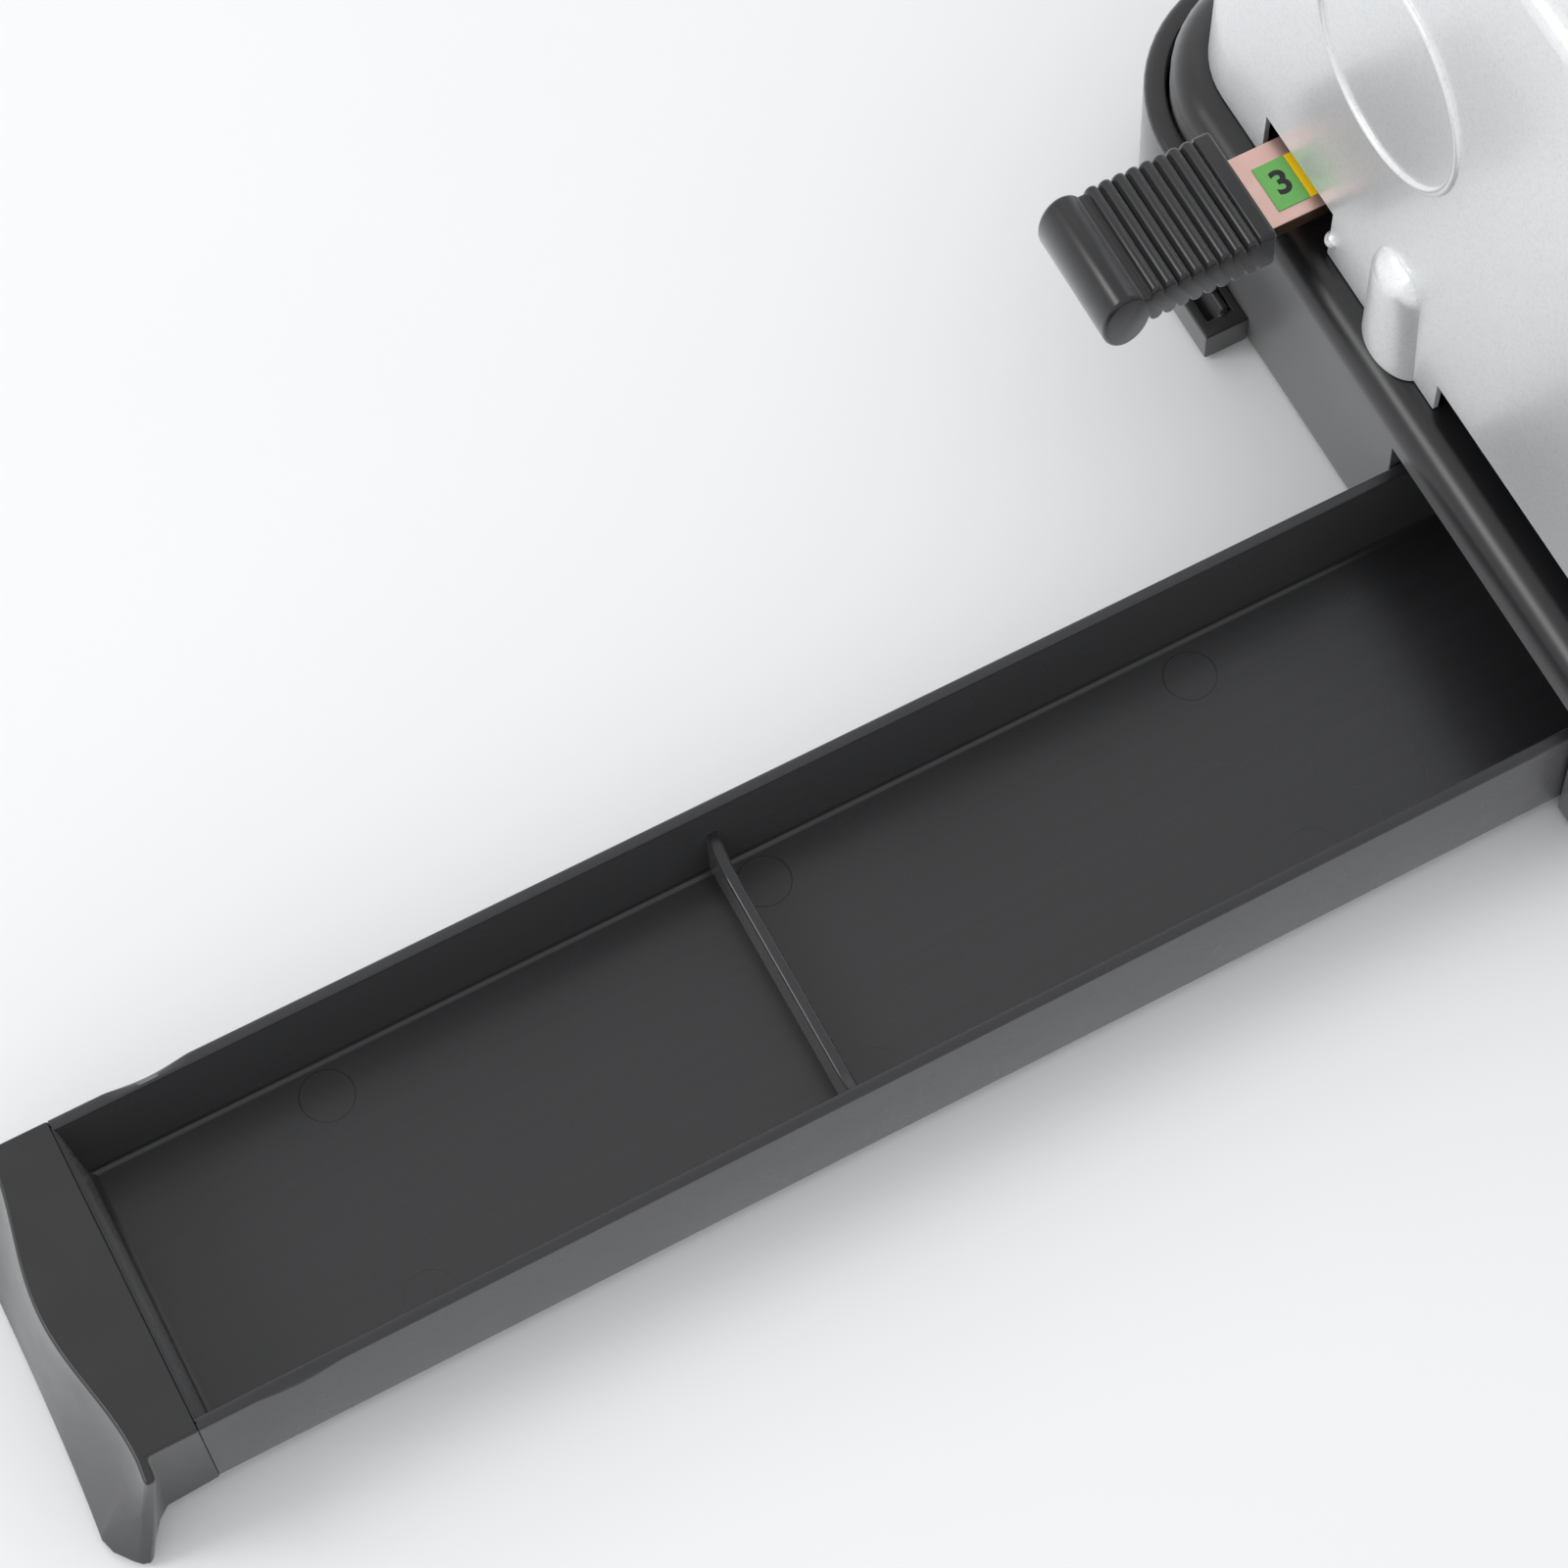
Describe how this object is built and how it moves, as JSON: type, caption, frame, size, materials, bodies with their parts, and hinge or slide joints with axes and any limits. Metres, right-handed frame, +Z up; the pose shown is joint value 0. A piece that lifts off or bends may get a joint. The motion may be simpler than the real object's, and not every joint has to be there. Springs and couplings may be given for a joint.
{
  "type": "hole punch",
  "caption": "Heavy-duty lever hole punch with a pull-out chip tray, a sliding hole-count selector and a silver cover over a black base.",
  "frame": {"origin": "middle of the base's underside, on the table", "axes": "+X along the machine to its lever end, the chip tray pulls out towards -X; +Y to the back; +Z up"},
  "size_m": [0.5815, 0.1736, 0.3134],
  "materials": {
    "black_abs": "satin moulded",
    "tray_abs": "semi-gloss moulded",
    "textured_abs": "spark-textured",
    "grip_abs": "satin moulded",
    "silver_paint": "fine metallic silver, satin",
    "copper_bar": "thin pinkish copper plating",
    "label_print": "printed film",
    "zinc_plate": "zinc plated",
    "ground_steel": "ground",
    "lever_steel": "silver lacquer",
    "spring_steel": "drawn wire",
    "bronze": "sintered",
    "nylon": "natural",
    "black_screw": "black oxide",
    "foot_rubber": "matte",
    "grip_rubber": "matte ribbed"
  },
  "bodies": {
    "base": {"base_shell": "black_abs", "bottom_plate": "zinc_plate", "rubber_feet": "foot_rubber", "bottom_screws": "black_screw", "rear_skirt": "black_abs", "foot_clip": "black_abs", "die_bar": "ground_steel", "guide_block": "ground_steel", "guide_screws": "black_screw", "chassis_plate": "zinc_plate", "left_cheek": "zinc_plate", "right_cheek": "zinc_plate", "cheek_screws": "black_screw", "shaft_bushes": "bronze", "rocker_shaft": "ground_steel", "guide_columns": "ground_steel", "bar_saddle": "nylon", "tray_rails": "black_abs", "top_cover": "silver_paint", "cover_screws": "black_screw"},
    "tray": {"chip_tray": "tray_abs", "tray_cap": "textured_abs"},
    "selector": {"selector_bar": "copper_bar", "selector_grip": "grip_abs", "selector_labels": "label_print", "selector_fork": "zinc_plate"},
    "comb": {"selector_comb": "ground_steel", "comb_pin": "ground_steel"},
    "lever": {"lever_shaft": "ground_steel", "press_cams": "ground_steel", "lever_hub": "textured_abs", "lever_arm": "lever_steel", "hub_screw": "black_screw", "handle_rod": "ground_steel", "handle_grip": "grip_rubber", "handle_end_cap": "grip_rubber"},
    "rockers": {"left_rocker": "zinc_plate", "right_rocker": "zinc_plate", "follower_pins": "ground_steel"},
    "beam": {"press_beam": "zinc_plate", "beam_trunnions": "ground_steel", "return_springs": "spring_steel"},
    "three_pins": {"three_hole_pins": "ground_steel", "three_hole_springs": "spring_steel"},
    "inner_pair": {"inner_pins": "ground_steel", "inner_springs": "spring_steel"},
    "outer_pair": {"outer_pins": "ground_steel", "outer_springs": "spring_steel"}
  },
  "joints": [
    {"name": "tray_slide", "type": "slide", "parent": "base", "child": "tray", "axis": [-1, 0, 0], "range_m": [-0.2118, 0.07]},
    {"name": "selector_slide", "type": "slide", "parent": "base", "child": "selector", "axis": [-1, 0, 0], "range_m": [0, 0.012]},
    {"name": "lever_turn", "type": "hinge", "parent": "base", "child": "lever", "pos_m": [0, 0.015, 0.091], "axis": [1, 0, 0], "range_deg": [0, 60], "stiffness_Nm_per_rad": 4, "springref_deg": -40.11},
    {"name": "rocker_turn", "type": "hinge", "parent": "base", "child": "rockers", "pos_m": [0, 0.0485, 0.07703], "axis": [1, 0, 0], "range_deg": [0, 9.6]},
    {"name": "beam_slide", "type": "slide", "parent": "base", "child": "beam", "axis": [0, 0, -1], "range_m": [0, 0.0121], "deforming": ["return_springs"]},
    {"name": "comb_slide", "type": "slide", "parent": "beam", "child": "comb", "axis": [-1, 0, 0], "range_m": [0, 0.0121]},
    {"name": "three_pin_slide", "type": "slide", "parent": "base", "child": "three_pins", "axis": [0, 0, -1], "range_m": [0, 0.0121], "deforming": ["three_hole_springs"]},
    {"name": "inner_pin_slide", "type": "slide", "parent": "base", "child": "inner_pair", "axis": [0, 0, -1], "range_m": [0, 0.012], "stiffness_N_per_m": 400, "springref_m": -0.005, "deforming": ["inner_springs"]},
    {"name": "outer_pin_slide", "type": "slide", "parent": "base", "child": "outer_pair", "axis": [0, 0, -1], "range_m": [0, 0.012], "stiffness_N_per_m": 400, "springref_m": -0.005, "deforming": ["outer_springs"]}
  ],
  "couplings": [
    {"joint": "rocker_turn", "follows": "lever_turn", "ratio": 0.15928},
    {"joint": "beam_slide", "follows": "lever_turn", "m_per_rad": 0.011459},
    {"joint": "three_pin_slide", "follows": "lever_turn", "m_per_rad": 0.011459},
    {"joint": "comb_slide", "follows": "selector_slide", "ratio": 1}
  ]
}
